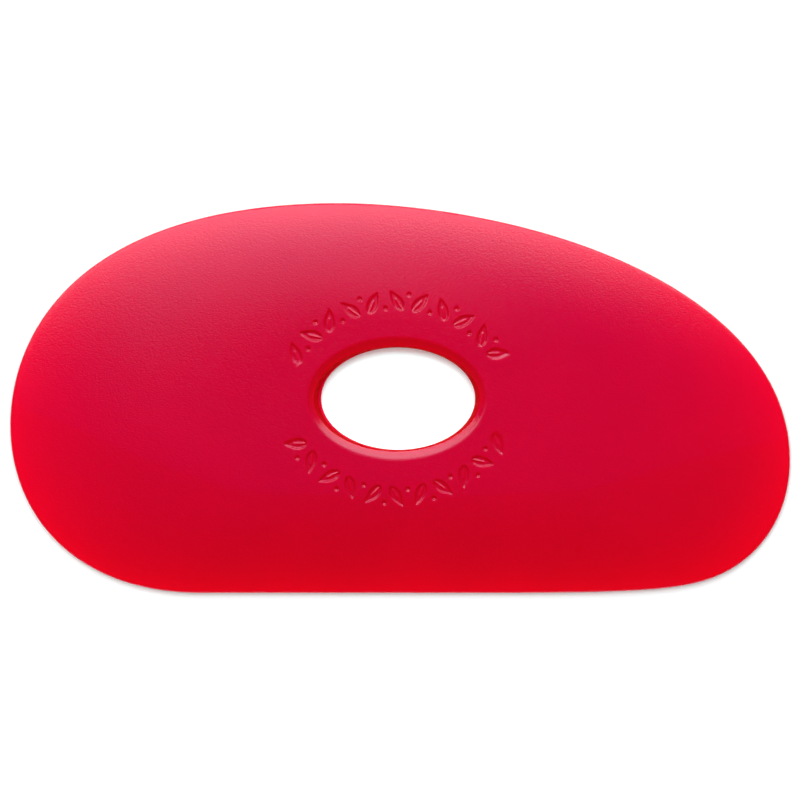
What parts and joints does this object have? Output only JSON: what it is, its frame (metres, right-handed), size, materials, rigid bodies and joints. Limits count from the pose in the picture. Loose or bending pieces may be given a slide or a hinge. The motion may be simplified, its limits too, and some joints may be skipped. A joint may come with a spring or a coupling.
{
  "type": "pottery rib",
  "caption": "Large flexible pottery rib: a crowned slab with a flat edge, a sweeping edge, thin working edges and an oval finger hole.",
  "frame": {"origin": "middle of the rib's length and width, on its flat back, which it lies on", "axes": "+X along the flat edge from the full end to the tight end, +Y from the flat edge to the crest of the sweeping edge, +Z out of the crowned front"},
  "size_m": [0.19, 0.095, 0.0065],
  "materials": {
    "red_polyurethane": "satin"
  },
  "bodies": {
    "root": {"rib_body": "red_polyurethane"}
  },
  "joints": []
}
